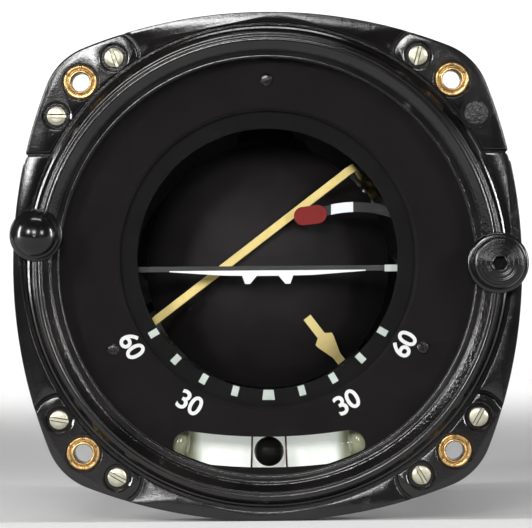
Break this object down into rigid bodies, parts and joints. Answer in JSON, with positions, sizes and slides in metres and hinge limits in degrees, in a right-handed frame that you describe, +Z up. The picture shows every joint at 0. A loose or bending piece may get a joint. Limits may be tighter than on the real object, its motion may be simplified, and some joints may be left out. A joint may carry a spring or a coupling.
{
  "type": "attitude indicator",
  "caption": "Panel attitude indicator with a square lugged bezel, round window, horizon bar, bank scale, slip tube and an electric gyro in a round case.",
  "frame": {"origin": "centre of the four panel screws, on the rear face of the mounting flange", "axes": "+Y runs from the dial to the connector, so the dial faces -Y; +Z is up on the dial; +X is right as the dial is read"},
  "size_m": [0.1228, 0.2053, 0.1206],
  "materials": {
    "enamel": "black crackle enamel, glossy on its ridges",
    "case_paint": "semi-gloss black paint",
    "plated_steel": "cadmium-plated steel",
    "steel": "bare ground steel",
    "brass": "turned brass",
    "window_glass": "clear flat glass",
    "tube_glass": "clear bent glass",
    "rubber": "black rubber",
    "mastic": "black sealing mastic",
    "dial_black": "matte black dial paint",
    "scale_black": "matte black paint",
    "mark_paint": "pale luminous paint",
    "symbol_paint": "matte white paint",
    "bar_paint": "pale yellow luminous paint",
    "dome_paint": "matte dark grey paint",
    "blade_paint": "matte dark grey paint",
    "flag_red": "satin red paint",
    "flag_white": "matte white paint",
    "flag_black": "matte black paint",
    "tray_white": "matte white paint",
    "ball_black": "polished black ball",
    "wire": "dark lacquered wire",
    "knob_black": "moulded gloss black plastic",
    "button_black": "turned black plastic",
    "casting": "plain cast aluminium",
    "alloy": "machined aluminium",
    "insulator": "brown moulded insulator",
    "laminated": "laminated iron with lacquer",
    "heavy_alloy": "heavy turned rotor"
  },
  "bodies": {
    "case": {"bezel": "enamel", "bezel_screws": "plated_steel", "seal_cup": "enamel", "seal_plug": "mastic", "flange_bushes": "brass", "window_glass": "window_glass", "glass_gasket": "rubber", "glass_retainer": "steel", "case_body": "case_paint", "mount_flange": "case_paint", "bulkhead": "casting", "bearing_bridge": "casting", "roll_bearings": "steel", "rear_cover": "case_paint", "rear_screws": "plated_steel", "dial_frame": "casting", "guide_rods": "steel", "dial_mask": "dial_black", "mask_screws": "dial_black", "scale_ring": "scale_black", "bank_marks": "mark_paint", "slip_tube": "tube_glass", "slip_wires": "wire", "slip_tray": "tray_white", "trim_bush": "brass", "cage_bush": "brass", "cage_spring": "steel", "flag_magnet": "laminated", "torquer_stator": "laminated", "brush_block": "insulator", "plug_shell": "alloy", "plug_insert": "insulator", "plug_pins": "brass", "plug_screws": "plated_steel"},
    "outer_gimbal": {"sky_dome": "dome_paint", "roll_pointer": "bar_paint", "gimbal_frame": "alloy", "pitch_races": "steel", "bar_pivots": "steel", "roll_shaft": "steel", "slip_rings": "insulator", "torquer_rotor": "laminated"},
    "gyro": {"gyro_housing": "alloy", "gyro_cap": "alloy", "spin_bearings": "steel", "gyro_stator": "laminated", "trunnion_pinion": "brass"},
    "rotor": {"gyro_rotor": "heavy_alloy"},
    "horizon": {"horizon_bar": "bar_paint", "pitch_sector": "brass"},
    "symbol": {"aircraft_symbol": "symbol_paint", "symbol_carriage": "blade_paint"},
    "trim": {"trim_knob": "knob_black", "trim_pinion": "steel"},
    "caging": {"cage_button": "button_black", "cage_rod": "steel"},
    "flag": {"flag_arm": "flag_black", "flag_paddle": "flag_red", "flag_band": "flag_white"},
    "slip": {"slip_ball": "ball_black"}
  },
  "joints": [
    {"name": "roll_axis", "type": "hinge", "parent": "case", "child": "outer_gimbal", "pos_m": [0, 0.124, 0], "axis": [0, 1, 0], "continuous": true},
    {"name": "pitch_axis", "type": "hinge", "parent": "outer_gimbal", "child": "gyro", "pos_m": [0, 0.083, 0], "axis": [0.7955, 0, 0.606], "range_deg": [-102.11, 57.89]},
    {"name": "rotor_spin", "type": "hinge", "parent": "gyro", "child": "rotor", "pos_m": [0, 0.083, 0], "axis": [-0.5614, -0.3763, 0.737], "continuous": true},
    {"name": "horizon_axis", "type": "hinge", "parent": "outer_gimbal", "child": "horizon", "pos_m": [0, 0.049, 0], "axis": [0.7955, 0, 0.606], "range_deg": [-22.8, 40.19]},
    {"name": "trim_turn", "type": "hinge", "parent": "case", "child": "trim", "pos_m": [-0.0547, -0.0135, 0.0078], "axis": [0, 1, 0], "range_deg": [-82, 82]},
    {"name": "symbol_slide", "type": "slide", "parent": "case", "child": "symbol", "axis": [0, 0, 1], "range_m": [-0.005, 0.005]},
    {"name": "caging_push", "type": "slide", "parent": "case", "child": "caging", "axis": [0, 1, 0], "range_m": [0, 0.003], "stiffness_N_per_m": 400, "springref_m": -0.005},
    {"name": "flag_swing", "type": "hinge", "parent": "case", "child": "flag", "pos_m": [0.0445, 0.005, 0.001], "axis": [0, 1, 0], "range_deg": [0, 40], "stiffness_Nm_per_rad": 0.0005, "springref_deg": -14.9},
    {"name": "ball_roll", "type": "hinge", "parent": "case", "child": "slip", "pos_m": [0, 0.0003, 0.08085], "axis": [0, 1, 0], "range_deg": [-7, 7]}
  ],
  "couplings": [
    {"joint": "horizon_axis", "follows": "pitch_axis", "ratio": -0.39344},
    {"joint": "trim_turn", "follows": "symbol_slide", "rad_per_m": -285.71}
  ]
}
